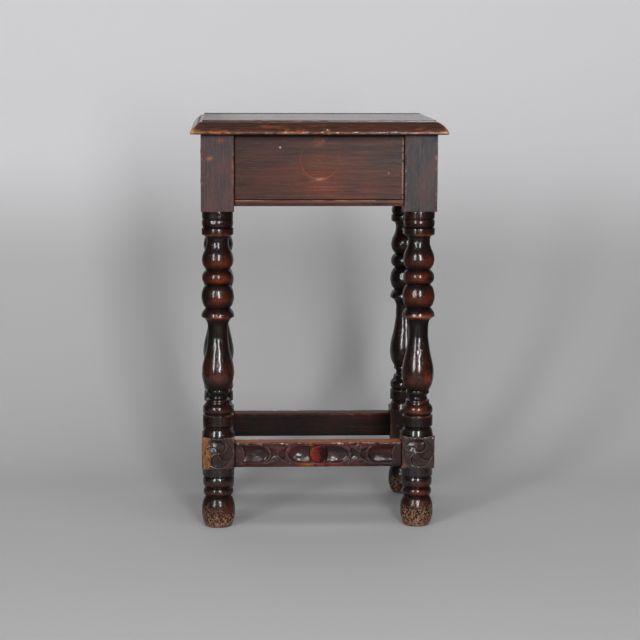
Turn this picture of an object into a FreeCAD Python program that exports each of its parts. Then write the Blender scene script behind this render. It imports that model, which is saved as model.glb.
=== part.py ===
import FreeCAD, Part
import math
import os

# Joined stool: a moulded plank seat pegged to a frame of four turned legs, four upper rails
# and four low stretchers, all mortised, tenoned and pegged. Sizes are millimetres, Z is up,
# the long side runs along X and the carved front faces -Y. The origin is on the floor, under
# the middle of the seat.

# Frame of the stool
seat_height = 559.0
leg_spacing_x = 274.0
leg_spacing_y = 203.0
leg_square = 45.0
arris_round = 1.2

# Seat plank and the moulding round its edge
seat_thickness = 19.0
seat_overhang = 13.8
mould_width = 15.0
mould_shelf = 1.2
mould_step = 2.4
mould_under = 1.6

# Blocks left square on each leg, and the foot below them. The lathe leaves the lower block's
# upper shoulder cupped, so that its corners rise above the middle of its faces.
upper_block_length = 104.3
lower_block_length = 43.0
shoulder_rise = 3.0
foot_height = 83.0
turning_allowance = 0.3

# Upper rails, with a scratched bead along the lower edge of the outer face
rail_height = 96.5
rail_thickness = 22.0
rail_setback = 1.5
rail_bead_height = 7.0
rail_quirk_width = 1.4
rail_quirk_depth = 1.2

# Low stretchers
stretcher_height = 34.5
stretcher_thickness = 25.0
stretcher_setback = 3.0
stretcher_lift = 2.5
stretcher_arris_round = 1.5

# Mortise and tenon joints
tenon_thickness = 8.0
tenon_setback = 8.5
tenon_length = 25.0
rail_tenon_top_shoulder = 14.0
rail_tenon_foot_shoulder = 6.5
stretcher_tenon_shoulder = 6.0
mortise_clearance = 0.1
mortise_end_gap = 1.0

# Pegs of the joints, and the larger pegs that hold the seat down
peg_diameter = 6.0
peg_past_tenon = 4.0
peg_inset = 11.0
peg_spacing = 40.0
peg_stagger = 7.0
peg_point_length = 4.0
peg_clearance = 0.1
seat_peg_diameter = 8.0
seat_peg_reach = 30.0
seat_peg_spacing = 170.0

# Carving: the band on the front stretcher, and the roundel on each front lower block
carving_depth = 3.5
band_margin = 5.2
roundel_diameter = 41.0
roundel_hub_diameter = 4.4
roundel_depth = 2.0
roundel_blades = 4

# Cuts run past the surface that they leave by this much
overrun = 1.0

# The turned shaft from the upper block down to the lower block. Each member is a share of the
# shaft's length and three shares of the largest radius: at its top, middle and bottom.
shaft_profile_shares = [
    (0.0327, 0.965, 0.965, 0.965),  # ring under the block
    (0.0400, 0.885, 0.965, 0.885),  # bead
    (0.0310, 0.980, 0.980, 0.980),  # flat disc
    (0.0080, 0.980, 0.880, 0.780),  # its chamfer
    (0.0540, 0.780, 0.680, 0.760),  # neck of the bulb
    (0.0940, 0.760, 0.970, 0.730),  # bulb
    (0.0660, 0.730, 0.965, 0.745),  # bead
    (0.1030, 0.745, 1.000, 0.760),  # ball
    (0.0380, 0.760, 0.930, 1.000),  # flared collar
    (0.0170, 1.000, 0.840, 0.730),  # hollow under the collar
    (0.0790, 0.730, 0.622, 0.640),  # neck of the vase
    (0.0720, 0.640, 0.700, 0.790),  # swell of the vase
    (0.1650, 0.790, 1.000, 0.715),  # belly of the vase
    (0.0140, 0.715, 0.715, 0.715),  # fillet
    (0.0310, 0.690, 0.565, 0.720),  # cove
    (0.0170, 0.735, 0.735, 0.735),  # fillet
    (0.0500, 0.800, 0.960, 0.845),  # bead
    (0.0490, 0.955, 0.955, 0.955),  # flat disc
    (0.0435, 0.800, 0.935, 0.985),  # bell over the lower block
]

# The turned foot from the lower block down to the floor, in the same form
foot_profile_shares = [
    (0.152, 0.980, 0.980, 0.980),  # ring under the block
    (0.185, 0.850, 0.955, 0.800),  # bead
    (0.147, 0.800, 0.925, 0.770),  # bead
    (0.492, 0.770, 1.000, 0.720),  # ball foot
]

# The thumbnail of the seat's edge: shares of the moulding's width, outwards from the shelf, and
# of its height, down from the shelf, for the points that its two curves pass through
thumbnail_shares = [(0.57, 0.29), (0.97, 0.72), (1.00, 0.86)]

# The carved band: where each form ends in the middle of the band, as shares of half the
# stretcher's length outwards from its centre, and how far each curved edge bulges, as shares
# of half the band's height
boss_edge_share = 0.114
hollow_end_share = 0.358
crescent_back_share = 0.378
crescent_belly_share = 0.457
crescents_touch_share = 0.464
half_disc_edge_share = 0.873
boss_bulge_share = 0.21
half_disc_bulge_share = 0.60
hollow_round_share = 0.95
crescent_reach_share = 0.97

# A blade of the roundel: how far its two curved edges turn half way to the rim and at the rim,
# as shares of the angle between two blades
blade_lead_shares = (0.40, 0.96)
blade_trail_shares = (1.32, 1.89)

# Sizes and places that follow from the ones above
seat_underside = seat_height - seat_thickness
seat_length = leg_spacing_x + leg_square + seat_overhang * 2
seat_width = leg_spacing_y + leg_square + seat_overhang * 2
half_square = leg_square / 2
turning_radius = half_square - turning_allowance
point_tolerance = turning_allowance / 10
upper_block_foot = seat_underside - upper_block_length
lower_block_top = foot_height + lower_block_length
rail_foot = seat_underside - rail_height
rail_tenon_foot = rail_foot + rail_tenon_foot_shoulder
rail_tenon_top = seat_underside - rail_tenon_top_shoulder
stretcher_foot = foot_height + stretcher_lift
stretcher_top = stretcher_foot + stretcher_height
stretcher_middle = stretcher_foot + stretcher_height / 2
stretcher_tenon_foot = stretcher_foot + stretcher_tenon_shoulder
stretcher_tenon_top = stretcher_top - stretcher_tenon_shoulder
rail_peg_heights = [(rail_tenon_foot + rail_tenon_top + side * peg_spacing) / 2 for side in (-1, 1)]

X_AXIS = FreeCAD.Vector(1, 0, 0)
Y_AXIS = FreeCAD.Vector(0, 1, 0)
Z_AXIS = FreeCAD.Vector(0, 0, 1)


def point(x, y, z):
    return FreeCAD.Vector(x, y, z)


def line(start, end):
    return Part.LineSegment(start, end).toShape()


def arc(start, middle, end):
    return Part.Arc(start, middle, end).toShape()


def box(low, high):
    """A box between two opposite corners."""
    size = high - low
    return Part.makeBox(size.x, size.y, size.z, low)


def prism(edges, direction):
    """The closed outline of the edges, extruded by a vector."""
    return Part.Face(Part.Wire(edges)).extrude(direction)


def profile_edges(shares, top, length):
    """The outline of turned members in the XZ plane, from the top down: a straight member is a
    line, a curved one an arc through its middle radius, and flat shoulders join members of
    different radius."""
    total = sum(row[0] for row in shares)
    z = top
    last = point(0, 0, top)
    edges = []
    for height_share, *radius_shares in shares:
        height = length * height_share / total
        radii = [turning_radius * share for share in radius_shares]
        start = point(radii[0], 0, z)
        middle = point(radii[1], 0, z - height / 2)
        end = point(radii[2], 0, z - height)
        if not start.isEqual(last, point_tolerance):
            edges.append(line(last, start))
        if middle.isEqual((start + end) / 2, point_tolerance):
            edges.append(line(start, end))
        else:
            edges.append(arc(start, middle, end))
        z -= height
        last = end
    return edges + [line(last, point(0, 0, z)), line(point(0, 0, z), point(0, 0, top))]


def turned(shares, top, length):
    """A solid of revolution about Z from a table of turned members."""
    face = Part.Face(Part.Wire(profile_edges(shares, top, length)))
    return face.revolve(point(0, 0, 0), Z_AXIS, 360)


def aimed(shape, place, direction):
    """The shape, which is made along -Z from the origin, moved to a place and turned to run
    along a direction."""
    result = shape.copy()
    result.Placement = FreeCAD.Placement(place, FreeCAD.Rotation(-Z_AXIS, direction))
    return result


def peg(diameter, length):
    """A peg along -Z from its head at the origin, tapering to a blunt point."""
    radius = diameter / 2
    shank = Part.makeCylinder(radius, length - peg_point_length, point(0, 0, 0), -Z_AXIS)
    shoulder = point(0, 0, peg_point_length - length)
    tip = Part.makeCone(radius, radius / 2, peg_point_length, shoulder, -Z_AXIS)
    return shank.fuse(tip)


def peg_bore(diameter, length):
    """The hole for a peg: open past its head, with the clearance round it and at its end."""
    radius = diameter / 2 + peg_clearance
    return Part.makeCylinder(radius, length + peg_clearance + overrun, point(0, 0, overrun), -Z_AXIS)


class Corner:
    """Planes of the frame at the leg of low X and low Y. The other legs mirror it."""
    outer_x = -leg_spacing_x / 2 - half_square
    outer_y = -leg_spacing_y / 2 - half_square
    inner_x = -leg_spacing_x / 2 + half_square
    inner_y = -leg_spacing_y / 2 + half_square


class JointPegs:
    """The pegs that lock one rail and one stretcher to the leg at the corner."""

    def __init__(self, rail_heads, stretcher_heads, direction, length):
        self.rail_heads = rail_heads
        self.stretcher_heads = stretcher_heads
        self.direction = direction
        self.length = length


def long_joint_pegs():
    """Pegs of the long rail and stretcher. They are driven from the leg's inner face and end
    just past the tenon, so the front shows no head."""
    x = Corner.inner_x - peg_inset
    rail = [point(x, Corner.inner_y, z) for z in rail_peg_heights]
    stretcher = [point(x, Corner.inner_y, stretcher_middle)]
    return JointPegs(rail, stretcher, -Y_AXIS, leg_square - tenon_setback + peg_past_tenon)


def short_joint_pegs():
    """Pegs of the short rail and stretcher, driven from outside. Those of the rail sit higher
    than the long rail's, so that no two bores meet the leg at one height."""
    y = Corner.inner_y - peg_inset
    rail = [point(Corner.outer_x, y, z + peg_stagger) for z in rail_peg_heights]
    stretcher = [point(Corner.outer_x, y, stretcher_middle)]
    return JointPegs(rail, stretcher, X_AXIS, tenon_setback + tenon_thickness + peg_past_tenon)


def leg_joinery():
    """Mortises and peg bores of the leg at the corner."""
    cheek_x = Corner.outer_x + tenon_setback
    cheek_y = Corner.outer_y + tenon_setback
    bottom = tenon_length + mortise_end_gap
    gap = point(mortise_clearance, mortise_clearance, mortise_clearance)
    cuts = []
    for foot, top in ((rail_tenon_foot, rail_tenon_top), (stretcher_tenon_foot, stretcher_tenon_top)):
        long_low = point(Corner.inner_x - bottom, cheek_y, foot)
        long_high = point(Corner.inner_x + overrun, cheek_y + tenon_thickness, top)
        short_low = point(cheek_x, Corner.inner_y - bottom, foot)
        short_high = point(cheek_x + tenon_thickness, Corner.inner_y + overrun, top)
        cuts.append(box(long_low - gap, long_high + gap))
        cuts.append(box(short_low - gap, short_high + gap))
    for pegs in (long_joint_pegs(), short_joint_pegs()):
        bore = peg_bore(peg_diameter, pegs.length)
        heads = pegs.rail_heads + pegs.stretcher_heads
        cuts += [aimed(bore, head, pegs.direction) for head in heads]
    return cuts


def roundel_blades_cut(centre, turn):
    """The pinwheel of a front block: curved blades that sweep from the hub to the rim, sunk
    into the face behind the centre. turn is 1 or -1 for the way that they sweep."""
    pitch = 2 * math.pi / roundel_blades
    hub = roundel_hub_diameter / 2
    rim = roundel_diameter / 2

    def polar(radius, angle):
        return centre + point(turn * radius * math.cos(angle), -overrun, radius * math.sin(angle))

    blades = []
    for number in range(roundel_blades):
        root = pitch * number
        lead_middle, lead_end = [root + pitch * share for share in blade_lead_shares]
        trail_middle, trail_end = [root + pitch * share for share in blade_trail_shares]
        half_way = (hub + rim) / 2
        start = polar(hub, root)
        outline = [
            arc(start, polar(half_way, lead_middle), polar(rim, lead_end)),
            arc(polar(rim, lead_end), polar(rim, (lead_end + trail_end) / 2), polar(rim, trail_end)),
            arc(polar(rim, trail_end), polar(half_way, trail_middle), start),
        ]
        blades.append(prism(outline, Y_AXIS * (roundel_depth + overrun)))
    return blades


def make_block(low, high):
    """A square block of the leg, its long arrises worn round."""
    block = box(point(-half_square, -half_square, low), point(half_square, half_square, high))
    upright = [edge for edge in block.Edges if edge.BoundBox.ZLength > arris_round]
    return block.makeFillet(arris_round, upright)


def cupped_block(low, high):
    """A square block whose top is a shallow cup: flat as far as the middle of each side, then
    rising to the corners."""
    corner_radius = half_square * math.sqrt(2)
    block = make_block(low, high + shoulder_rise)
    places = [
        point(0, 0, high),
        point(half_square, 0, high),
        point(corner_radius, 0, high + shoulder_rise),
        point(corner_radius, 0, high + shoulder_rise + overrun),
        point(0, 0, high + shoulder_rise + overrun),
    ]
    sides = [line(places[number - 1], places[number]) for number in range(len(places))]
    return block.cut(Part.Face(Part.Wire(sides)).revolve(point(0, 0, 0), Z_AXIS, 360))


def make_leg(side_x, side_y):
    """One leg: two square blocks, the turned shaft between them and the turned foot. side_x and
    side_y are -1 or 1. Only the front legs carry a roundel."""
    upper = make_block(upper_block_foot, seat_underside)
    lower = cupped_block(foot_height, lower_block_top)
    shaft = turned(shaft_profile_shares, upper_block_foot, upper_block_foot - lower_block_top)
    foot = turned(foot_profile_shares, foot_height, foot_height)
    leg = upper.fuse([shaft, lower, foot])
    leg.translate(point(-leg_spacing_x / 2, -leg_spacing_y / 2, 0))
    cuts = leg_joinery()
    if side_y < 0:
        centre = point(-leg_spacing_x / 2, Corner.outer_y, (foot_height + lower_block_top) / 2)
        cuts += roundel_blades_cut(centre, -side_x)
    leg = leg.cut(cuts).removeSplitter()
    if side_x > 0:
        leg = leg.mirror(point(0, 0, 0), X_AXIS)
    if side_y > 0:
        leg = leg.mirror(point(0, 0, 0), Y_AXIS)
    return leg


def rail_along_x(shoulder, outer):
    """An upper rail along X between two shoulders. Its outer face lies behind the legs' outer
    plane, at outer, and has a bead run along its lower edge."""
    face = outer + rail_setback
    body = box(point(-shoulder, face, rail_foot), point(shoulder, face + rail_thickness, seat_underside))
    lower_arris = [edge for edge in body.Edges
                   if edge.BoundBox.XLength > shoulder and edge.BoundBox.YMax < face + arris_round
                   and edge.BoundBox.ZMax < rail_foot + arris_round]
    body = body.makeFillet(arris_round, lower_arris)
    quirk_foot = rail_foot + rail_bead_height
    corners = [
        point(-shoulder - overrun, face - overrun, quirk_foot),
        point(-shoulder - overrun, face + rail_quirk_depth, quirk_foot),
        point(-shoulder - overrun, face, quirk_foot + rail_quirk_width),
        point(-shoulder - overrun, face - overrun, quirk_foot + rail_quirk_width),
    ]
    sides = [line(corners[number - 1], corners[number]) for number in range(len(corners))]
    quirk = prism(sides, X_AXIS * (shoulder + overrun) * 2)
    tenons = tenons_along_x(shoulder, outer, rail_tenon_foot, rail_tenon_top)
    return body.cut(quirk).fuse(tenons).removeSplitter()


def stretcher_along_x(shoulder, outer):
    """A low stretcher along X between two shoulders, its upper arrises worn round."""
    face = outer + stretcher_setback
    low = point(-shoulder, face, stretcher_foot)
    body = box(low, point(shoulder, face + stretcher_thickness, stretcher_top))
    upper_arrises = [edge for edge in body.Edges
                     if edge.BoundBox.XLength > shoulder
                     and edge.BoundBox.ZMin > stretcher_top - stretcher_arris_round]
    body = body.makeFillet(stretcher_arris_round, upper_arrises)
    tenons = tenons_along_x(shoulder, outer, stretcher_tenon_foot, stretcher_tenon_top)
    return body.fuse(tenons).removeSplitter()


def tenons_along_x(shoulder, outer, foot, top):
    """The tenons at both ends of a rail or stretcher, in line with the legs' mortises."""
    cheek = outer + tenon_setback
    tenons = []
    for start, end in ((-shoulder - tenon_length, -shoulder), (shoulder, shoulder + tenon_length)):
        tenons.append(box(point(start, cheek, foot), point(end, cheek + tenon_thickness, top)))
    return tenons


def band_gouge(face):
    """The sweep of the gouge along the carved band: as wide as the band at the face and as deep
    as the carving along its middle."""
    half_band = stretcher_height / 2 - band_margin
    radius = (half_band ** 2 + carving_depth ** 2) / (2 * carving_depth)
    start = point(-leg_spacing_x / 2, face + carving_depth - radius, stretcher_middle)
    return Part.makeCylinder(radius, leg_spacing_x, start, X_AXIS)


def hollow_outline(disc_edge, round_end, bulge):
    """Outline of a scooped hollow: one end follows the bulging edge of a disc, and the other
    is rounded outwards."""
    half_band = stretcher_height / 2 - band_margin
    way = math.copysign(1, round_end - disc_edge)
    top = stretcher_middle + half_band
    foot = stretcher_middle - half_band
    corner = disc_edge - way * bulge
    spring = round_end - way * half_band * hollow_round_share
    return [
        arc(point(corner, 0, top), point(disc_edge, 0, stretcher_middle), point(corner, 0, foot)),
        line(point(corner, 0, foot), point(spring, 0, foot)),
        arc(point(spring, 0, foot), point(round_end, 0, stretcher_middle), point(spring, 0, top)),
        line(point(spring, 0, top), point(corner, 0, top)),
    ]


def crescent_outline(belly, back):
    """Outline of a crescent between its bulging belly and its flatter back."""
    half_band = stretcher_height / 2 - band_margin
    way = math.copysign(1, back - belly)
    tip = belly + way * half_band * crescent_reach_share
    upper_tip = point(tip, 0, stretcher_middle + half_band)
    lower_tip = point(tip, 0, stretcher_middle - half_band)
    return [
        arc(upper_tip, point(belly, 0, stretcher_middle), lower_tip),
        arc(lower_tip, point(back, 0, stretcher_middle), upper_tip),
    ]


def carved_band(shoulder, face):
    """Cuts of the band on the front stretcher. From the boss in its middle outwards: a hollow,
    two crescents belly to belly, and a hollow that ends at the half disc beside the leg."""
    half_band = stretcher_height / 2 - band_margin
    touch = shoulder * crescents_touch_share
    hollow_end = shoulder * hollow_end_share
    crescent = (shoulder * crescent_belly_share, shoulder * crescent_back_share)
    outlines = [
        hollow_outline(shoulder * boss_edge_share, hollow_end, half_band * boss_bulge_share),
        crescent_outline(*crescent),
        crescent_outline(*[touch * 2 - x for x in crescent]),
        hollow_outline(shoulder * half_disc_edge_share, touch * 2 - hollow_end,
                       half_band * half_disc_bulge_share),
    ]
    gouge = band_gouge(face)
    cuts = []
    for outline in outlines:
        slab = prism(outline, Y_AXIS * (carving_depth + overrun))
        slab.translate(Y_AXIS * (face - overrun))
        cut = slab.common(gouge)
        cuts += [cut, cut.mirror(point(0, 0, 0), X_AXIS)]
    return cuts


def quarter_turned(shape):
    """The shape turned about Z so that what faced -Y faces -X."""
    result = shape.copy()
    result.rotate(point(0, 0, 0), Z_AXIS, -90)
    return result


def seat_section(across):
    """Half-edges of the seat's section in the XZ plane: flat field, small step, shelf,
    thumbnail and worn nose at each end, closed along the underside."""
    half = across / 2
    shelf_z = seat_height - mould_step
    mould_height = shelf_z - seat_underside

    def rim(width_share, height_share):
        x = half - mould_width * (1 - width_share)
        return point(x, 0, shelf_z - mould_height * height_share)

    middle, nose, tip = [rim(*shares) for shares in thumbnail_shares]
    places = [
        point(half - mould_width - mould_shelf, 0, seat_height),
        point(half - mould_width - mould_shelf, 0, shelf_z),
        point(half - mould_width, 0, shelf_z),
        middle,
        nose,
        tip,
        point(half - mould_under, 0, seat_underside),
    ]
    edges = []
    for side in (1, -1):
        field, step, shelf, middle, nose, tip, under = [point(side * p.x, 0, p.z) for p in places]
        edges += [line(field, step), line(step, shelf), arc(shelf, middle, nose), arc(nose, tip, under)]
    half_field = places[0].x
    half_under = places[-1].x
    edges.append(line(point(-half_field, 0, seat_height), point(half_field, 0, seat_height)))
    edges.append(line(point(-half_under, 0, seat_underside), point(half_under, 0, seat_underside)))
    return Part.Wire(Part.sortEdges(edges)[0])


def rail_centre(outer):
    """The middle plane of the upper rail behind the outer plane."""
    return outer + rail_setback + rail_thickness / 2


def long_seat_pegs():
    """Heads of the two seat pegs that go down into the front rail."""
    y = rail_centre(Corner.outer_y)
    return [point(side * seat_peg_spacing / 2, y, seat_height) for side in (-1, 1)]


def short_seat_pegs():
    """Head of the seat peg that goes down into the left rail."""
    return [point(rail_centre(Corner.outer_x), 0, seat_height)]


def across(places, axis):
    """The places mirrored across the middle of the stool along an axis."""
    return [place - axis * (2 * place.dot(axis)) for place in places]


def make_seat():
    """The seat: the common part of its two mitred mouldings, bored for its pegs."""
    along_y = Part.Face(seat_section(seat_length)).extrude(Y_AXIS * seat_width)
    along_y.translate(-Y_AXIS * seat_width / 2)
    along_x = Part.Face(seat_section(seat_width)).extrude(Y_AXIS * seat_length)
    along_x.translate(-Y_AXIS * seat_length / 2)
    seat = along_y.common(quarter_turned(along_x))
    bore = peg_bore(seat_peg_diameter, seat_thickness + seat_peg_reach)
    return seat.cut([aimed(bore, place, -Z_AXIS) for place in seat_peg_places()])


def seat_peg_places():
    """Heads of all the seat's pegs."""
    long_side = long_seat_pegs()
    short_side = short_seat_pegs()
    return long_side + across(long_side, Y_AXIS) + short_side + across(short_side, X_AXIS)


def make_bars():
    """The rails, stretchers and their pegs, by name. Each long one is made at the front and
    mirrored to the back, and each short one at the left and mirrored to the right."""
    parts = {}
    seat_bore = peg_bore(seat_peg_diameter, seat_thickness + seat_peg_reach)
    long_shoulder = leg_spacing_x / 2 - half_square
    short_shoulder = leg_spacing_y / 2 - half_square
    sides = [
        ("front", "back", Y_AXIS, X_AXIS, long_joint_pegs(), long_seat_pegs(),
         rail_along_x(long_shoulder, Corner.outer_y), stretcher_along_x(long_shoulder, Corner.outer_y)),
        ("left", "right", X_AXIS, Y_AXIS, short_joint_pegs(), short_seat_pegs(),
         quarter_turned(rail_along_x(short_shoulder, Corner.outer_x)),
         quarter_turned(stretcher_along_x(short_shoulder, Corner.outer_x))),
    ]
    for near, far, facing, along, joint_pegs, seat_heads, rail, stretcher in sides:
        seat_bores = [aimed(seat_bore, head, -Z_AXIS) for head in seat_heads]
        bars = [("rail", rail, joint_pegs.rail_heads, seat_bores),
                ("stretcher", stretcher, joint_pegs.stretcher_heads, [])]
        for kind, bar, corner_heads, cuts in bars:
            heads = corner_heads + across(corner_heads, along)
            pegs = [aimed(peg(peg_diameter, joint_pegs.length), head, joint_pegs.direction)
                    for head in heads]
            bores = [aimed(peg_bore(peg_diameter, joint_pegs.length), head, joint_pegs.direction)
                     for head in heads]
            bored = bar.cut(bores + cuts)
            group = Part.makeCompound(pegs)
            parts[kind + "_" + near] = bored
            parts[kind + "_" + far] = bored.mirror(point(0, 0, 0), facing)
            parts["pegs_" + kind + "_" + near] = group
            parts["pegs_" + kind + "_" + far] = group.mirror(point(0, 0, 0), facing)
    front = parts["stretcher_front"]
    parts["stretcher_front"] = front.cut(carved_band(long_shoulder, Corner.outer_y + stretcher_setback))
    return parts


def make_parts():
    """All the pieces of the stool by name."""
    parts = {"seat": make_seat()}
    for depth_name, side_y in (("front", -1), ("back", 1)):
        for side_name, side_x in (("left", -1), ("right", 1)):
            parts["leg_" + depth_name + "_" + side_name] = make_leg(side_x, side_y)
    parts.update(make_bars())
    seat_peg = peg(seat_peg_diameter, seat_thickness + seat_peg_reach)
    parts["pegs_seat"] = Part.makeCompound([aimed(seat_peg, place, -Z_AXIS) for place in seat_peg_places()])
    return parts


os.makedirs("parts", exist_ok=True)
for name, shape in make_parts().items():
    shape.exportStep("parts/" + name + ".step")
    print(name, len(shape.Solids), "solids", round(shape.Volume), "mm3", "valid" if shape.isValid() else "INVALID")
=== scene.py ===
import bpy
import math
import numpy as np
from mathutils import Matrix, Vector


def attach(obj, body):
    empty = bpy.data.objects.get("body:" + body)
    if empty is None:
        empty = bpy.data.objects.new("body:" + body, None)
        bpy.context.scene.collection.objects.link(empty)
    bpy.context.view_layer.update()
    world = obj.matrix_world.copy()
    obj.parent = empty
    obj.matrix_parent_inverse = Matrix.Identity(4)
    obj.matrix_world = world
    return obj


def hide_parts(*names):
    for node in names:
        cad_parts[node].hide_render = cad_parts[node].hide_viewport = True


# Joined stool of dark stained oak. Sizes here are millimetres in the stool's own frame, and
# they are turned into metres where a mesh is made. The carved front faces -Y, and Z is up.

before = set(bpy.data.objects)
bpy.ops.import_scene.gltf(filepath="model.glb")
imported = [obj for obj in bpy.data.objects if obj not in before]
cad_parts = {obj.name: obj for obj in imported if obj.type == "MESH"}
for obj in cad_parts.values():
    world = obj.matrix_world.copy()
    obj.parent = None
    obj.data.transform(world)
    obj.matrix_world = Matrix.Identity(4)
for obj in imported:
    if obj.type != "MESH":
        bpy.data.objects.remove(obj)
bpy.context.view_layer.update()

MM = 0.001

# The frame of the stool
LEG_X = 137.0
LEG_Y = 101.5
HALF_SQUARE = 22.5
SEAT_TOP = 559.0
SEAT_FOOT = 540.0
SEAT_HALF_X = 173.3
SEAT_HALF_Y = 137.8
UPPER_BLOCK_FOOT = 435.7
LOWER_BLOCK_TOP = 126.0
FOOT_HEIGHT = 83.0

# Rails and stretchers
RAIL_FOOT = 443.5
RAIL_THICKNESS = 22.0
RAIL_SETBACK = 1.5
STRETCHER_FOOT = 85.5
STRETCHER_TOP = 120.0
STRETCHER_MIDDLE = (STRETCHER_FOOT + STRETCHER_TOP) / 2
STRETCHER_THICKNESS = 25.0
STRETCHER_SETBACK = 3.0
TENON_LENGTH = 25.0
TENON_THICKNESS = 8.0
TENON_SETBACK = 8.5
RAIL_TENON = (450.0, 526.0)
STRETCHER_TENON = (91.5, 114.0)
PEG_INSET = 11.0

OUTER_X = LEG_X + HALF_SQUARE
OUTER_Y = LEG_Y + HALF_SQUARE
SHOULDER_X = LEG_X - HALF_SQUARE
SHOULDER_Y = LEG_Y - HALF_SQUARE

# The turned shaft, member by member from the upper block down: (height, radius) pairs
SHAFT_MEMBERS = [
    [(440.3, 19.5), (435.9, 21.3), (425.8, 21.4)],
    [(425.6, 19.6), (424.2, 20.6), (420.0, 21.5), (415.0, 20.7), (413.4, 19.6)],
    [(413.0, 18.8), (412.4, 21.7), (404.0, 21.8), (402.2, 18.6)],
    [(401.4, 16.5), (398.0, 15.4), (394.0, 15.0), (390.0, 15.4), (387.0, 16.1), (383.0, 17.7),
     (380.5, 19.0), (377.8, 20.1), (375.0, 20.9), (371.0, 21.5), (369.5, 21.65), (366.0, 21.2),
     (363.0, 20.5), (361.0, 19.6), (358.7, 18.0), (357.0, 16.9), (355.8, 15.2)],
    [(355.2, 15.6), (354.5, 17.3), (353.2, 18.6), (351.8, 19.7), (350.4, 20.5), (347.7, 21.3),
     (344.9, 21.5), (342.0, 21.1), (339.5, 20.0), (338.0, 18.9), (336.7, 17.4), (335.4, 15.8)],
    [(334.8, 16.0), (334.0, 17.6), (332.6, 18.7), (329.8, 20.2), (327.1, 21.2), (324.3, 21.85),
     (319.0, 22.45), (316.0, 22.4), (313.3, 21.7), (310.6, 21.0), (307.8, 19.9), (305.1, 18.3),
     (303.5, 16.3)],
    [(303.1, 16.6), (302.3, 17.8), (301.0, 19.0), (299.6, 20.0), (298.2, 20.9), (296.8, 21.6),
     (295.4, 22.1), (292.7, 22.5), (291.2, 22.5)],
    [(290.8, 21.6), (290.0, 19.6), (288.5, 17.8), (287.2, 16.7), (285.8, 15.8), (284.4, 15.2),
     (281.6, 14.3), (277.0, 13.9), (270.0, 13.8), (264.0, 13.95), (258.0, 14.6), (252.6, 15.4),
     (247.0, 16.1), (240.0, 17.5), (233.0, 19.2), (226.3, 20.7), (220.7, 21.7), (215.0, 22.3),
     (211.0, 22.4), (208.2, 22.1), (205.4, 21.7), (199.9, 20.5), (195.7, 19.1), (192.9, 17.7),
     (190.6, 16.3), (189.2, 15.1)],
    [(188.9, 15.9), (184.8, 16.1)],
    [(184.4, 14.9), (183.1, 13.5), (180.4, 12.7), (177.6, 13.3), (176.0, 14.5)],
    [(175.2, 16.4), (170.9, 16.6)],
    [(170.0, 17.0), (169.2, 18.0), (167.8, 19.3), (166.4, 20.3), (165.0, 20.9), (162.0, 21.4),
     (159.4, 21.1), (158.0, 20.7), (156.6, 19.8), (155.4, 18.6)],
    [(154.6, 18.4), (154.0, 21.2), (140.2, 21.3), (139.4, 19.6)],
    [(138.4, 17.6), (137.0, 18.5), (135.6, 19.7), (134.2, 20.4), (132.8, 20.9), (130.0, 21.5),
     (127.0, 22.0), (124.0, 22.1), (119.0, 20.5)],
]

# The turned foot under the lower block, in the same form, down to the worn flat on the floor
FOOT_MEMBERS = [
    [(88.0, 20.0), (83.2, 21.9), (70.6, 21.9)],
    [(69.6, 19.2), (68.6, 20.0), (66.0, 20.9), (62.0, 21.3), (58.0, 20.8), (55.6, 19.4)],
    [(54.2, 17.4), (52.6, 19.2), (50.6, 20.2), (48.0, 20.6), (45.0, 20.1), (43.0, 18.9)],
    [(41.6, 16.8), (39.9, 18.5), (37.1, 20.0), (34.3, 21.0), (31.4, 21.8), (28.6, 22.3),
     (22.9, 22.7), (18.7, 22.7), (14.4, 22.4), (11.6, 21.7), (8.8, 21.0), (5.9, 20.0),
     (3.1, 18.9), (1.0, 17.6), (0.0, 15.6)],
]

# How far the stain is rubbed off the turning, by height: most on the fullest part of each member
WORN_HEIGHTS = [
    (441, 0.05), (430, 0.06), (421, 0.15), (414, 0.05), (411, 0.12), (406, 0.22), (403.5, 0.70),
    (401, 0.10), (395, 0.02), (384, 0.03), (377, 0.12), (369, 0.45), (362, 0.38), (357, 0.03),
    (353, 0.10), (348, 0.45), (341, 0.60), (337, 0.04), (330, 0.08), (324, 0.25), (315, 0.50),
    (308, 0.25), (303, 0.03), (299, 0.08), (296, 0.25), (293.5, 0.90), (291, 1.00), (287, 0.05),
    (275, 0.02), (260, 0.05), (245, 0.10), (232, 0.18), (222, 0.35), (213, 0.62), (206, 0.68),
    (198, 0.16), (190, 0.03), (183, 0.05), (177, 0.10), (174.5, 0.40), (171, 0.18), (167, 0.35),
    (161, 0.70), (157, 0.30), (154, 0.20), (148, 0.12), (141, 0.08), (136, 0.05), (128, 0.03),
    (86, 0.03), (76, 0.10), (70, 0.05), (62, 0.22), (57, 0.38), (54, 0.05), (47, 0.42),
    (42, 0.08), (36, 0.15), (28, 0.30), (16, 0.38), (4, 0.42), (0, 0.40),
]


# Each leg's side in X and Y, how far its lower members lie above the pattern, since no two legs
# were turned alike, and how much wear it gets
LEGS = {"leg_front_left": (-1, -1, 2.2, 0.62), "leg_front_right": (1, -1, 0.0, 0.82),
        "leg_back_left": (-1, 1, -0.7, 0.28), "leg_back_right": (1, 1, 0.6, 0.28)}


# The circle scribed on the front rail
CIRCLE_X = 0.8
CIRCLE_Z = 506.0
CIRCLE_RADIUS = 26.0


# Numbers and small curves

def clamped(values):
    """The values kept between 0 and 1."""
    return np.clip(values, 0, 1)


def eased(low, high, value):
    """Rises smoothly from 0 at low to 1 at high."""
    share = clamped((value - low) / (high - low))
    return share * share * (3 - 2 * share)


def hump(value, middle, reach):
    """A smooth hump: 1 at the middle, falling to nothing a few reaches away."""
    return np.exp(-((value - middle) / reach) ** 2)


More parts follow.
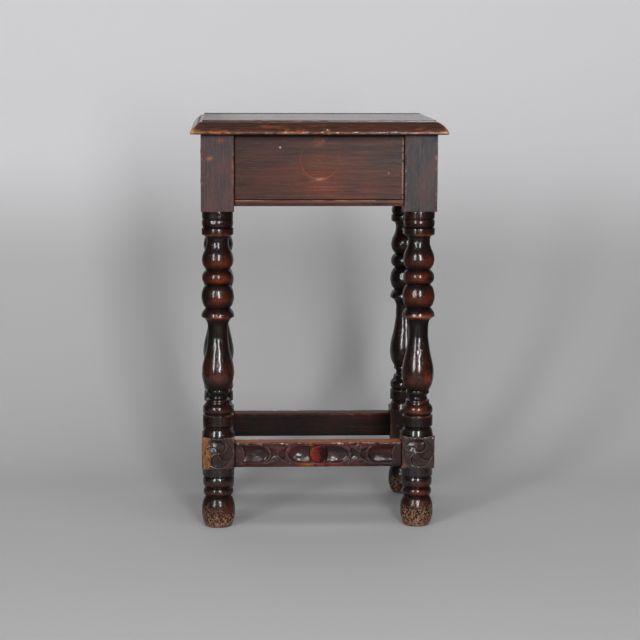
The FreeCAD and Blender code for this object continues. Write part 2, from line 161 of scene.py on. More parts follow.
def mottle(points, cell, seed):
    """Smooth noise from 0 to 1. Each corner of a lattice of cells holds a random number, and a
    point gets the eased average of the corners round it. cell is one size or one per axis."""
    place = points / np.asarray(cell, float)
    base = np.floor(place).astype(np.int64)
    part = place - base
    part = part * part * (3 - 2 * part)
    total = np.zeros(points.shape[:-1])
    for corner in np.ndindex(2, 2, 2):
        key = (base + corner) * (73856093, 19349663, 83492791)
        key = (key[..., 0] ^ key[..., 1] ^ key[..., 2] ^ (seed * 26544357)) & 0xFFFFFFFF
        key = ((key ^ (key >> 13)) * 1274126177) & 0xFFFFFFFF
        value = ((key ^ (key >> 16)) & 0xFFFF) / 0xFFFF
        total += value * np.prod(np.where(corner, part, 1 - part), axis=-1)
    return total


def drawn_through(pairs, spacing):
    """A smooth curve through (height, radius) pairs that never overshoots them: a monotone
    cubic, whose slope at a pair is the harmonic mean of the slopes on each side of it."""
    heights, radii = np.array(pairs, float).T
    heights = -heights
    steps = np.diff(heights)
    rises = np.diff(radii) / steps
    slopes = np.concatenate([rises[:1], np.zeros(len(rises) - 1), rises[-1:]])
    same_way = rises[:-1] * rises[1:] > 0
    both = np.where(same_way, rises[:-1] + rises[1:], 1.0)
    slopes[1:-1] = np.where(same_way, 2 * rises[:-1] * rises[1:] / both, 0)
    places = np.linspace(heights[0], heights[-1], max(2, int((heights[-1] - heights[0]) / spacing)))
    span = np.clip(np.searchsorted(heights, places, "right") - 1, 0, len(steps) - 1)
    size = steps[span]
    share = (places - heights[span]) / size
    curve = (radii[span] * (1 + 2 * share) * (1 - share) ** 2
             + slopes[span] * size * share * (1 - share) ** 2
             + radii[span + 1] * share ** 2 * (3 - 2 * share)
             + slopes[span + 1] * size * share ** 2 * (share - 1))
    return np.column_stack([-places, curve])


def turned_outline(members, worn, turn_per_row, longest_row):
    """The outline of joined members as (height, radius) rows. The members' curves are joined,
    the arrises are worn round by a moving average over the length worn, and the rows are then
    set closer where the outline bends."""
    fine = 0.2
    joined = np.vstack([drawn_through(member, fine) for member in members])
    run = np.concatenate([[0], np.cumsum(np.hypot(*np.diff(joined, axis=0).T))])
    even = np.arange(0, run[-1], fine)
    outline = np.column_stack([np.interp(even, run, joined[:, axis]) for axis in (0, 1)])
    reach = np.arange(-3, 3 + fine / 2, fine / worn)
    weights = np.exp(-reach ** 2)
    edge = len(reach) // 2
    padded = np.pad(outline, ((edge, edge), (0, 0)), mode="edge")
    rounded = np.column_stack([np.convolve(padded[:, axis], weights / weights.sum(), "valid")
                               for axis in (0, 1)])
    rounded[[0, -1]] = outline[[0, -1]]
    ahead = np.diff(rounded, axis=0)
    heading = np.unwrap(np.arctan2(ahead[:, 1], ahead[:, 0]))
    bend = np.abs(np.gradient(heading))
    share = np.concatenate([[0], np.cumsum(bend / turn_per_row + fine / longest_row)])
    rows = np.linspace(0, share[-1], int(share[-1]) + 2)
    return np.column_stack([np.interp(rows, share, rounded[:, axis]) for axis in (0, 1)])


# Skins: rows of points that close round, made into one mesh

def skin(points, **shades):
    """A closed skin over rows of points. Each row is a loop, neighbouring rows are joined by
    four-sided faces, and each end is closed by a fan to its middle. A shade is one number for
    each point. The faces are turned over if the volume that they enclose comes out negative."""
    rows, columns = points.shape[:2]
    spots = np.vstack([points.reshape(-1, 3), points[0].mean(axis=0), points[-1].mean(axis=0)])
    here = np.arange(columns)
    there = (here + 1) % columns
    start = np.arange(rows - 1)[:, None] * columns
    quads = np.stack([start + here, start + there, start + columns + there,
                      start + columns + here], axis=-1).reshape(-1, 4)
    last = (rows - 1) * columns
    first_fan = np.stack([there, here, np.full(columns, rows * columns)], axis=-1)
    last_fan = np.stack([last + here, last + there, np.full(columns, rows * columns + 1)], axis=-1)
    fans = np.vstack([first_fan, last_fan])
    triangles = np.vstack([quads[:, [0, 1, 2]], quads[:, [0, 2, 3]], fans])
    a, b, c = [spots[triangles[:, corner]] for corner in range(3)]
    if np.einsum("ij,ij->i", a, np.cross(b, c)).sum() < 0:
        quads, fans = quads[:, ::-1], fans[:, ::-1]
    flat = {}
    for name, values in shades.items():
        values = np.broadcast_to(values, (rows, columns))
        flat[name] = np.concatenate([values.ravel(), [values[0].mean(), values[-1].mean()]])
    return spots, quads, fans, flat


def make_piece(name, skins, finish, node=None):
    """One object from closed skins. It rides on the stool's body and stands for a CAD node, the
    one of its own name unless another is given."""
    spots, faces, count = [], [], 0
    for points, quads, fans, _ in skins:
        spots.append(points)
        faces += (quads + count).tolist() + (fans + count).tolist()
        count += len(points)
    mesh = bpy.data.meshes.new(name)
    mesh.from_pydata((np.vstack(spots) * MM).tolist(), [], faces)
    for shade in skins[0][3]:
        values = np.concatenate([part[3][shade] for part in skins]).astype(np.float32)
        mesh.attributes.new(shade, "FLOAT", "POINT").data.foreach_set("value", values)
    mesh.shade_smooth()
    mesh.set_sharp_from_angle(angle=math.radians(55))
    mesh.materials.append(finish)
    piece = bpy.data.objects.new(name, mesh)
    bpy.context.scene.collection.objects.link(piece)
    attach(piece, "root")
    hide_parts(node or name)


def ring(half_a, half_b, corner, shares, corner_points):
    """Points round a rectangle with round corners in the (a, b) plane, starting on the side of
    low b. A side point lies at its share, -1 to 1, of the straight run, and a corner is a
    quarter circle. The sizes are one number or one per row. Gives points (rows, columns, 2),
    outward normals (columns, 2) and each point's distance from the nearest arris."""
    half_a, half_b, corner = [np.reshape(np.asarray(size, float), (-1, 1))
                              for size in (half_a, half_b, corner)]
    turn = np.arange(1, corner_points + 1) / (corner_points + 1) * math.pi / 2
    places, normals, gaps = [], [], []
    for side, share in enumerate(shares):
        half, out = (half_a, half_b) if side % 2 == 0 else (half_b, half_a)
        run = half - corner
        along = np.hstack([run * share, run + corner * np.sin(turn)])
        outward = np.hstack([out + 0 * run * share, out - corner + corner * np.cos(turn)])
        gap = np.hstack([run * (1 - np.abs(share)), 0 * run * turn])
        flat = np.concatenate([0 * share, np.sin(turn)])
        steep = np.concatenate([0 * share + 1, np.cos(turn)])
        pick = [(along, -outward, flat, -steep), (outward, along, steep, flat),
                (-along, outward, -flat, steep), (-outward, -along, -steep, -flat)][side]
        places.append(np.stack(np.broadcast_arrays(*pick[:2]), axis=-1))
        normals.append(np.stack(pick[2:], axis=-1))
        gaps.append(gap)
    return np.concatenate(places, axis=1), np.concatenate(normals), np.hstack(gaps)


def side_shares(count):
    """Shares along one side, closer together near both of its ends."""
    even = np.linspace(-1, 1, count)
    return np.sin(even * math.pi / 2) * 0.35 + even * 0.65


# The carving

def hollowness(depth, step):
    """How much deeper a place is cut than the four places a few rows and columns from it."""
    near = sum(np.roll(depth, way, axis) for axis in (0, 1) for way in (step, -step))
    return depth - near / 4


def roundel_depth(x, z):
    """Depth of the four-petalled whorl, for places from its centre. In polar terms a ridge
    starts near the radius and swings round as the square of the distance out. Between two
    ridges the floor is deepest beside the first and climbs to the second, and it ends in a
    steep wall at the rim."""
    rim = 20.4
    distance = np.hypot(x, z)
    out = distance / rim
    swing = np.radians(10) + np.radians(70) * out ** 2
    share = (np.arctan2(z, x) - swing) / (math.pi / 2)
    number = np.floor(share)
    share = share - number
    across = np.clip(distance, 1, None) * math.pi / 2
    wall = eased(0, 1.1, share * across) * (1 - eased(-0.9, 0, (share - 1) * across) * 0.25)
    floor = (1 - share) ** 0.9 * 2.9 + 0.3
    scoop = 0.55 + 0.65 * np.sin(clamped(out) * math.pi) ** 0.8
    opening = eased(0.4, 3.0, distance) * (1 - eased(rim - 1.3, rim, distance))
    return wall * floor * scoop * opening * (0.9 + 0.1 * np.cos(number * 2.4))


def band_depth(x, z):
    """Depth of the carved band on the front stretcher, for places from its middle. From the
    boss outwards: a spoon-shaped hollow, two crescents belly to belly, and a second hollow that
    ends at the half disc by the leg. bend is the square of the height as a share of the band's,
    and every edge bends with it. A hollow is a scoop, round in section and at its far end, and
    stopped by a steep wall at the disc."""
    half_band = 12.0
    bend = (z / half_band) ** 2
    out = np.abs(x)
    depth = np.zeros(np.broadcast(x, z).shape)
    for disc_edge, tip, nose, way in ((11.3 - 2.8 * bend, 41.6, 18.5, 1),
                                      (101.0 + 5.0 * bend, 67.4, 14.0, -1)):
        spring = tip - way * nose
        round_end = np.clip(way * (out - spring) / nose, 0, 2) ** 2
        scoop = clamped(1 - bend - round_end)
        wall = eased(0, 1.3, way * (out - disc_edge))
        depth = np.maximum(depth, 4.0 * scoop ** 0.62 * wall)
    for belly_edge, hollow_edge in ((54.2 - 15.0 * bend, 44.6 - 5.8 * bend),
                                    (55.8 + 15.5 * bend, 65.2 + 6.8 * bend)):
        share = clamped((out - belly_edge) / (hollow_edge - belly_edge))
        width = clamped(np.abs(hollow_edge - belly_edge) / 7.6)
        gouge = share ** 0.8 * eased(1.0, 0.72, share) * width ** 0.5
        depth = np.maximum(depth, 2.9 * gouge * (bend < 1))
    return depth


# The turned legs

def turned_skin(members, columns, longest_row, x, y, drift, wear, seed):
    """Turned members about a leg's upright axis: the outline carried round it, a little out of
    round, with shallow dents. drift lifts the members in the lower part of the shaft and in the
    foot. Shades say where the stain is worn, by how much wear the leg gets, and where the
    turning is darker, in its grooves and with dirt on the foot. The side that faces out of the
    stool, and a little to the right, is the most worn and reddest; on the front legs that side
    faces the lamps, so there its redness is painted light as well as wear. The undersides of
    the members take no polish. columns is the number of points round the axis, and
    longest_row the furthest that two rows lie apart."""
    outline = turned_outline(members, 0.55, math.radians(13), longest_row)
    height, radius = outline[:, :1], outline[:, 1:]
    angle = np.arange(columns) / columns * 2 * math.pi
    about = np.stack(np.broadcast_arrays(22 * np.cos(angle), 22 * np.sin(angle), height), axis=-1)
    oval = 1 + 0.006 * np.cos(2 * angle + seed)
    dents = mottle(about, (7, 7, 9), seed) ** 6 * 0.9 + mottle(about, 3.1, seed + 5) * 0.12
    reach = radius * oval - dents * (height > 1)
    lift = eased(129, 146, height) * eased(262, 182, height)
    lift = drift * (lift + 0.6 * eased(2, 38, height) * eased(84, 68, height))
    points = np.stack([x + reach * np.cos(angle), y + reach * np.sin(angle),
                       np.broadcast_to(height + lift, reach.shape)], axis=-1)
    heights, amounts = np.array(WORN_HEIGHTS[::-1], float).T
    level = np.interp(height, heights, amounts)
    patch = mottle(about, (16, 16, 11), seed + 9)
    fine = mottle(about, (3.5, 3.5, 2.2), seed + 13)
    # On the front legs the side towards the lamps is painted redder and lighter, a painted light as
    # well as wear
    facing = clamped(np.cos(angle - math.copysign(math.radians(75), y))) ** 2
    worn = clamped(level * (0.10 + 1.7 * patch) + (fine - 0.5) * 0.7 * level)
    worn = (worn * wear * (0.38 + 0.82 * facing)) ** 1.35
    around = np.convolve(np.pad(outline[:, 1], 9, mode="edge"), np.ones(19) / 19, "valid")
    grime = eased(0.15, 1.9, around[:, None] - radius) * (1 - 0.8 * hump(height, 393, 8))
    # The ball of the foot is scuffed to bare wood and blackened in specks
    on_ball = height < 45
    speck = mottle(about, (1.0, 1.0, 1.3), seed + 21)
    scuffs = eased(0.52, 0.72, speck)
    low = 1 - eased(2, 40, height + (patch - 0.5) * 26)
    sole = 1 - eased(1, 12, height + (fine - 0.5) * 8)
    bare = clamped(low * 1.25 * scuffs + 0.65 * sole * (0.4 + speck)) * on_ball
    grime = clamped(grime + (height < 56) * (0.25 + low) * eased(0.42, 0.26, speck))
    worn = clamped(worn + 0.5 * low * (fine - 0.2) * on_ball)
    # The sharpest rims, of the upper disc, the collar and the lower disc, are rubbed bare
    arrises = sum(hump(height, place, 0.9) for place in (403.2, 292.2, 154.0))
    bare = bare + 0.5 * arrises * eased(0.25, 0.75, patch * 0.5 + fine * 0.5)
    bare = bare * np.where(on_ball, 0.92, wear)
    slope = np.gradient(outline[:, 1], outline[:, 0] + 1e-6 * np.arange(len(outline)))[:, None]
    matt = eased(296, 312, height) * (0.12 + 0.35 * patch) * (1 - 0.85 * hump(height, 394, 9))
    matt = matt + 0.5 * eased(50, 38, height)
    matt = matt + 0.75 * eased(0.08, 0.45, slope) + 0.6 * hump(height, 147, 8)
    return skin(points, worn=worn, grime=grime, bare=bare, matt=clamped(matt))


def block_skin(x, y, low, high, seed, front=None, cup=0.0, side_count=10, row_gap=2.4):
    """A square block of a leg. Rows climb its faces and turn over a worn edge at each end, and
    the end faces run in to the axis. cup raises the corners of the top, as a lathe tool leaves
    them. front gives the depth of carving on the face of low Y. Gives the points and their
    shades: worn; grime, with the seat's painted shadow across the top; bare; and a painted
    highlight on the carving's ridges and arrises."""
    worn_edge = 0.9
    turn = np.linspace(0, math.pi / 2, 5)
    inset = worn_edge * (1 - np.sin(turn))
    rise = worn_edge * (1 - np.cos(turn))
    guard = worn_edge + 0.4
    climb = np.linspace(low + guard, high - guard, int((high - low) / row_gap))
    levels = np.concatenate([np.full(4, low), low + rise, climb, (high - rise)[::-1],
                             np.full(4, high)])
    caps = HALF_SQUARE - np.array([0.6, 8, 15, 20])
    insets = np.concatenate([caps, inset, np.zeros(len(climb)), inset[::-1], caps[::-1]])
    halves = HALF_SQUARE - insets
    corner = np.minimum(1.5, halves * 0.6)
    plain = side_shares(side_count)
    carved = side_shares(128) if front else plain
    flat, normal, gap = ring(halves, halves, corner, [carved, plain, plain, plain], 5)
    height = np.broadcast_to(levels[:, None], flat.shape[:2])
    share = clamped((height - low) / (high - low))
    reach = np.hypot(flat[..., 0], flat[..., 1])
    height = height + cup * share ** 3 * np.clip((reach - HALF_SQUARE) / 8.5, -0.05, 1.1)
    local = np.concatenate([flat, height[..., None]], axis=-1)
    spots = local + (x, y, 0)
    on_face = insets[:, None] < 1
    arris = np.exp(-gap / 0.9) * on_face
    end_arris = np.exp(-np.minimum(height - low, high - height).clip(0) / 0.9) * on_face
    knocks = mottle(spots, (3.2, 3.2, 4.5), seed) ** 3
    uneven = mottle(spots, (9, 9, 22), seed + 3)
    chips = np.maximum(arris, end_arris) * knocks * 1.1
    depth = 0.06 + 0.16 * uneven + chips
    if front:
        face = clamped(-normal[:, 1]) ** 2
        carving = front(local[..., 0], height - (low + high) / 2 - 0.2) * face * on_face
        carving = carving * (0.86 + 0.28 * mottle(spots, 4.0, seed + 31))
        hollow = hollowness(carving, 3)
        ridge = 0.4 * eased(0.08, 0.5, -hollow)
        sunk = eased(0.10, 0.6, hollow)
    else:
        carving = ridge = sunk = np.zeros(depth.shape)
    local[..., :2] -= (depth * (insets[:, None] < 5))[..., None] * normal
    local[..., 1] += carving
    streak = mottle(spots, (2.2, 2.2, 30), seed + 7)
    broad = mottle(spots, (14, 14, 26), seed + 11)
    edge = np.maximum(arris, end_arris) * eased(0.35, 0.8, mottle(spots, (2, 2, 2.6), seed + 15))
    worn = clamped(0.04 + 0.16 * (streak - 0.3) * broad + 0.18 * edge + 0.25 * ridge)
    grime = 1.2 * sunk + 0.15 * eased(0.3, 1.2, carving)
    # Painted shadow of the seat's overhang across the top of the block
    grime = clamped(grime + eased(SEAT_FOOT - 3.8, SEAT_FOOT - 2, height))
    bare = 0.45 * edge * eased(0.4, 0.9, mottle(spots, (3, 3, 5), seed + 17)) + 0.12 * ridge
    broken = eased(0.30, 0.75, 0.5 * streak + 0.5 * mottle(spots, (3, 3, 3), seed + 19))
    # Painted highlight in a pale colour on the carving's ridges and arrises
    dry = (1.1 * ridge + 0.35 * edge) * broken * bool(front)
    return local + (x, y, 0), worn, grime, bare, clamped(dry)


def make_leg(name, finishes, seed):
    """A leg: two square blocks, the turned shaft between them and the turned foot. A front
    leg's lower block carries the whorl, and the left one is rubbed to golden bare wood along
    its outer edge."""
    side_x, side_y, drift, wear = LEGS[name]
    x = side_x * LEG_X
    y = side_y * LEG_Y
    carved = roundel_depth if side_y < 0 else None
    upper = block_skin(x, y, UPPER_BLOCK_FOOT, SEAT_FOOT + 0.4, seed, side_count=14)
    lower = block_skin(x, y, FOOT_HEIGHT, LOWER_BLOCK_TOP, seed + 40, front=carved, cup=3.0,
                       row_gap=0.38 if carved else 2.4)
    spots, worn, grime, bare, dry = lower
    if name == "leg_front_left":
        # The upper block's face has two rubbed marks
        upper[1][...] = upper[1] + 0.03
        for a, b, size, strength in ((-10.6, 507.4, 2.8, 1.0), (5.0, 532.0, 5.0, 0.55)):
            mark = hump(upper[0][..., 0] - x, a, size) * hump(upper[0][..., 2], b, size * 0.8)
            mark = strength * mark * (upper[0][..., 1] < y - HALF_SQUARE + 2)
            upper[1][...] = np.maximum(upper[1], mark)
            upper[3][...] = np.maximum(upper[3], 0.20 * mark * (size < 4))
        strip = eased(-11.0, -13.5, spots[..., 0] - x + (mottle(spots, (4, 4, 5), 77) - 0.5) * 4)
        strip = strip * (spots[..., 1] < y - HALF_SQUARE + 2.5)
        speckle = mottle(spots, (1.1, 1.1, 3.6), 78)
        bare = np.maximum(bare, strip * (0.35 + 0.65 * speckle))
        grime = np.maximum(grime * (1 - strip), 0.85 * strip * eased(0.42, 0.22, speckle))
    if name == "leg_front_right":
        upper[1][...] = clamped(upper[1] - 0.03)
        spot = hump(spots[..., 0] - x, -19, 4) * hump(spots[..., 2], 87, 2.5)
        worn = np.maximum(worn, spot)
    upper_skin = skin(upper[0], worn=upper[1], grime=upper[2], bare=upper[3])
    lower_skin = skin(spots, worn=worn, grime=grime, bare=bare, dry=dry)
    # The foot's mesh is finer than the shaft's, for its specks
    turning = [turned_skin(*shape, x, y, drift, wear, seed + number)
               for number, shape in enumerate(((SHAFT_MEMBERS, 72, 2.6), (FOOT_MEMBERS, 150, 1.2)),
                                              50)]
    make_piece(name, turning, finishes["turned"])
    make_piece(name + "_upper_block", [upper_skin], finishes["blocks"], name)
    make_piece(name + "_lower_block", [lower_skin], finishes["carved"], name)


# Rails and stretchers

def bar_rows(shoulder, spacing):
    """Rows along a bar: its tenon, its shoulder and its body. Gives each row's place and
    whether it belongs to the body."""
    body = np.linspace(-shoulder - 0.3, shoulder + 0.3, int(2 * shoulder / spacing))
    end = shoulder + TENON_LENGTH
    tenon = np.array([end, end - 1.0, end - 8.0, shoulder - 0.2])
    places = np.concatenate([-tenon, body, tenon[::-1]])
    return places, np.abs(np.arange(len(places)) - (len(places) - 1) / 2) < len(body) / 2


def bar_points(shoulder, outer, foot, top, thickness, setback, tenon, front_shares, spacing,
               corner):
    """A bar along X with a tenon at each end. Its section, a rectangle with worn corners in the
    (Z, Y) plane, is carried along X, and narrows to the tenon's section at the shoulders."""
    places, in_body = bar_rows(shoulder, spacing)
    half_height = np.where(in_body, (top - foot) / 2, (tenon[1] - tenon[0]) / 2)
    half_depth = np.where(in_body, thickness / 2, TENON_THICKNESS / 2)
    half_height[[0, -1]] -= 1.0
    half_depth[[0, -1]] -= 1.0
    middle_z = np.where(in_body, (top + foot) / 2, (tenon[1] + tenon[0]) / 2)
    middle_y = np.where(in_body, outer + setback + thickness / 2,
                        outer + TENON_SETBACK + TENON_THICKNESS / 2)
    plain = side_shares(12)
    section, normal, gap = ring(half_height, half_depth, np.where(in_body, corner, 0.3),
                                [front_shares, plain, plain, plain], 5)
    points = np.stack([np.broadcast_to(places[:, None], section.shape[:2]),
                       section[..., 1] + middle_y[:, None],
                       section[..., 0] + middle_z[:, None]], axis=-1)
    return points, normal, gap, in_body[:, None]


def placed(points, facing):
    """A bar made at the front, turned or mirrored to face the back, left or right."""
    x, y, z = np.moveaxis(points, -1, 0)
    return np.stack({"front": (x, y, z), "back": (x, -y, z), "left": (y, -x, z),
                     "right": (-y, -x, z)}[facing], axis=-1)


def make_rail(facing, shoulder, outer, finish, seed, front_count, spacing):
    """An upper rail. Along the foot of its outer face a quirk is scratched, which leaves a
    bead standing below it. The front rail also carries a circle scribed with a compass and the
    knocks and rubbed streaks of long use."""
    shares = np.concatenate([np.linspace(-1, -0.77, 27), np.linspace(-0.765, 1, front_count)])
    points, normal, gap, body = bar_points(shoulder, outer, RAIL_FOOT, SEAT_FOOT + 0.3,
                                           RAIL_THICKNESS, RAIL_SETBACK, RAIL_TENON, shares,
                                           spacing, 1.2)
    x, z = points[..., 0], points[..., 2]
    face = clamped(-normal[:, 1]) ** 4 * body
    up = z - RAIL_FOOT
    quirk = eased(9.6, 8.5, up) * eased(7.6, 8.2, up)
    fascia = 0.35 * eased(8.4, 7.4, up) - 0.30 * hump(up, 4.4, 2.6)
    lines = mottle(points, (60, 9, 3.0), seed + 1)
    depth = 1.3 * quirk + fascia * (up < 8) + 0.10 + 0.22 * mottle(points, (34, 9, 15), seed)
    depth = depth + 0.10 * lines
    to_end = (shoulder - np.abs(x)).clip(0)
    seam = hump(to_end, 0, 0.8) * body
    depth = depth + 2.0 * seam
    arris = np.exp(-gap / 0.9) * body
    chips = mottle(points, (5, 3, 3), seed + 2) ** 4
    depth = depth + arris * chips * 1.2
    ends = np.exp(-to_end / 1.2) * body
    rubbed = eased(0.50, 0.85, mottle(points, (34, 9, 1.5), seed + 4)) * eased(508, 470, z)
    rubbed = rubbed * eased(0.35, 0.7, mottle(points, (70, 9, 30), seed + 5))
    # Painted highlight along the upper round of the bead, in worn and bare colours
    bead_top_painted_highlight = hump(up, 7.6, 0.6) * (0.35 + 0.65 * mottle(points, (8, 9, 3), seed + 6))
    worn = 0.10 + 0.30 * rubbed + 0.16 * (lines - 0.5) + 0.6 * bead_top_painted_highlight + 0.6 * arris * chips
    bare = 0.60 * bead_top_painted_highlight * eased(0.2, 0.7, mottle(points, (14, 9, 3), seed + 7))
    # Painted shade in the quirk, in the joints with the legs and along the rail's lower edge
    grime = quirk * 0.9 + ends * 0.6 + 0.9 * seam + 0.45 * eased(1.6, 0.2, up)
    # Painted shadow of the seat's overhang, darkest at the top of the rail
    grime = grime + 0.5 * eased(SEAT_FOOT - 11, SEAT_FOOT - 4, z)
    grime = grime + eased(SEAT_FOOT - 4.5, SEAT_FOOT - 2.5, z)
    if facing == "front":
        glow = hump(x, 6, 58) * hump(z, 482, 34) * (0.35 + 1.2 * rubbed)
        from_centre = np.hypot(x - CIRCLE_X, z - CIRCLE_Z)
        strength = 0.10 + 0.30 * eased(528, 510, z) + 0.40 * eased(508, 486, z)
        strength = strength * (1 - 0.45 * eased(8, 24, x) * (z > 488))
        groove = hump(from_centre, CIRCLE_RADIUS, 0.55) * strength
        prick = np.exp(-from_centre ** 2 / 2.0)
        splinter = hump(x, 0.4, 5.5) * hump(z, 530, 5.0) * mottle(points, (1.6, 9, 2.2), 91)
        rub = hump(x, 1.5, 6.0) * hump(z, 480.5, 2.2) * (0.4 + 0.9 * mottle(points, (3, 9, 2), 92))
        flecks = sum(bright * np.exp(-((x - a) ** 2 + (z - b) ** 2) / 0.8)
                     for a, b, bright in ((-52.8, 522.4, 1.0), (93.2, 488.2, 0.25)))
        depth = depth + 0.12 * groove + 0.2 * prick + 2.2 * splinter * (splinter > 0.45) + 0.3 * rub
        worn = worn + 0.66 * glow + 0.85 * groove + 0.35 * prick + 1.1 * splinter + 0.6 * rub
        bare = bare + 0.06 * groove * hump(z, 480, 4) + 0.25 * rub + 0.2 * splinter + 2.4 * flecks
        bare = clamped(bare)
        grime = grime + 0.9 * eased(0.5, 0.75, splinter)
        chip = hump(x, shoulder - 1.5, 3.2) * hump(z, 451.5, 2.6)
        depth = depth + 2.2 * chip
        bare = np.maximum(bare, 0.35 * chip)
        worn_end = eased(0.25, 0.6, mottle(points, (3, 9, 3), seed + 8))
        worn_end = worn_end * hump(x, shoulder - 2.2, 0.8)
        bare = np.maximum(bare, 0.55 * worn_end * (up > 10))
    points[..., 1] += depth * face
    shades = {"worn": clamped(worn) * body, "grime": clamped(grime) * body,
              "bare": bare * body * face}
    make_piece("rail_" + facing, [skin(placed(points, facing), **shades)], finish)


def make_stretcher(facing, shoulder, outer, finish, seed, front_count, spacing, golden):
    """A low stretcher, its upper face and arrises rubbed by feet. The front one carries the
    carved band, and golden says how bare the rubbed top is."""
    points, normal, gap, body = bar_points(shoulder, outer, STRETCHER_FOOT, STRETCHER_TOP,
                                           STRETCHER_THICKNESS, STRETCHER_SETBACK,
                                           STRETCHER_TENON, side_shares(front_count), spacing, 1.9)
    x, z = points[..., 0], points[..., 2]
    face = clamped(-normal[:, 1]) ** 2 * body
    top = clamped(normal[:, 0]) * body
    carved = facing == "front"
    wander = (mottle(points, (18, 9, 9), seed + 1) - 0.5) * 1.4
    carving = np.zeros(x.shape)
    if carved:
        rise = z - STRETCHER_MIDDLE + (mottle(points, (26, 9, 30), seed + 2) - 0.5) * 0.9
        away = np.hypot(x, 0.96 * (z - STRETCHER_MIDDLE))
        disc = eased(11.4, 10.4, away) * face
        carving = np.maximum(band_depth(x + wander, rise), 0.9 * hump(away, 11.6, 0.7)) * face
        carving = carving * (0.8 + 0.4 * mottle(points, (9, 9, 5), seed + 3))
    cut = carving.copy()
    for _ in range(2):
        cut = (cut + np.roll(cut, 1, 0) + np.roll(cut, -1, 0) + np.roll(cut, 1, 1)
               + np.roll(cut, -1, 1)) / 5
    hollow = hollowness(carving, 2)
    ridge = eased(0.06, 0.35, -hollow)
    sunk = eased(0.08, 0.5, hollow)
    arris = np.exp(-gap / 1.4) * body
    upper_arris = arris * (z > STRETCHER_MIDDLE)
    chips = mottle(points, (6, 4, 4), seed + 5) ** 3
    sag = 0.5 * top * mottle(points, (55, 30, 30), seed + 6)
    dents = 0.07 + 0.22 * mottle(points, (12, 12, 8), seed + 7)
    to_end = (shoulder - np.abs(x)).clip(0)
    seam = hump(to_end, 0, 0.7) * body
    points[..., 1] += cut + (dents + arris * chips * 1.5 + 1.6 * seam) * face
    points[..., 2] -= sag + upper_arris * chips * 0.9
    lines = mottle(points, (45, 3, 2.4), seed + 8)
    broad = mottle(points, (40, 12, 12), seed + 9)
    ends = np.exp(-to_end / 1.5) * body
    raised = 1 - eased(0.15, 0.9, cut)
    centre = hump(x, 0, 55) * carved
    boss = hump(x, -3.5, 6.5) * disc if carved else 0.0
    # The wax has gone dull towards the ends, most of all on the right
    matt = 0.65 * eased(58, 72, x) + 0.25 * eased(-66, -76, x)
    low_strip = eased(STRETCHER_FOOT + 6, STRETCHER_FOOT + 2, z) * centre
    worn = 0.06 + raised * (0.26 * centre + 0.80 * boss) + 0.10 * ridge * (1 - 0.5 * boss)
    worn = worn + 0.35 * upper_arris + 0.4 * top + 0.25 * (broad - 0.5) + 0.25 * (lines - 0.5)
    worn = worn + 0.45 * low_strip
    rubbed = top * eased(2.0, 5.0, 125 * top - 115 + 4 * lines) * (0.55 + 0.7 * lines)
    rubbed = rubbed * (0.55 + 0.75 * mottle(points, (7, 4, 3), seed + 14))
    bare = golden * rubbed * (0.55 + 0.7 * broad) + 0.3 * upper_arris * chips
    # Darker in the cuts of the carving, with painted shade in the joints with the legs
    grime = sunk * 0.9 + ends * 0.6 + 0.9 * seam + 0.15 * eased(0.4, 1.6, cut)
    if carved:
        orange = hump(x, -16, 8) * hump(z, 89.0, 2.6)
        # Painted highlight on the boss's left edge, in the colour of bare wood
        boss_edge_painted_highlight = hump(x, -11.0, 0.9) * eased(-9, 0, z - STRETCHER_MIDDLE) * face
        boss_edge_painted_highlight = boss_edge_painted_highlight + 0.4 * hump(x, -9, 2.5)
        bare = bare + 0.55 * orange + 0.6 * boss_edge_painted_highlight + 0.10 * ridge * eased(0.4, 0.8, lines)
        specks = eased(0.60, 0.78, mottle(points, (2.4, 3, 1.9), seed + 12)) * raised
        # Painted shade on the right side of the boss, and the ground just round it darkened
        beside = eased(14, 11, np.abs(x)) * (1 - disc) * (np.abs(z - STRETCHER_MIDDLE) < 12)
        boss_painted_shade = 1.2 * hump(x, 7.5, 6.0) * disc * (0.8 + 0.4 * broad) + 0.5 * beside
        matt = matt + disc
        grime = grime + 0.75 * specks * (1 - top) * (1 - 0.7 * boss) + 0.9 * boss_painted_shade
        grime = grime + 0.55 * hump(z, STRETCHER_TOP - 3.6, 1.5) * face
    # Painted highlight in a pale colour on the carving's ridges, away from the boss
    dry = 0.75 * ridge * eased(14, 26, np.abs(x)) * (0.3 + 0.7 * lines)
    shades = {"worn": clamped(worn) * body, "grime": clamped(grime) * body,
              "bare": clamped(bare) * body, "matt": matt, "dry": dry}
    make_piece("stretcher_" + facing, [skin(placed(points, facing), **shades)], finish)


# The seat

def seat_profile():
    """The section of the seat's edge from the middle of the underside, round the nose and over
    the moulding to the middle of the top, as (inset, height) rows. The thumbnail between nose
    and shelf is a quarter superellipse, flatter than a circle."""
    under = [(132, 540.05), (110, 540.0), (80, 540.0), (50, 540.0), (25, 540.0), (8, 540.0),
             (2.6, 540.0), (1.8, 540.05), (1.1, 540.25), (0.6, 540.6), (0.25, 541.1), (0.1, 541.7)]
    turn = np.linspace(0, math.pi / 2, 30)
    power = 2 / 1.38
    inset = 15.0 * (1 - np.cos(turn) ** power)
    rise = 14.2 * np.sin(turn) ** power
    nail = np.column_stack([inset, 542.4 + rise])
    step = [(15.35, 556.55), (15.8, 556.5), (16.1, 556.6), (16.2, 557.0), (16.25, 557.7),
            (16.3, 558.3), (16.5, 558.65), (16.9, 558.85), (17.5, 558.9)]
    field = [(inset, 558.9) for inset in (18.5, 20, 22, 25, 29, 34, 40, 47, 55, 64, 74, 85, 97,
                                          110, 122, 132, 136.5)]
    return np.vstack([under, nail, step, field])


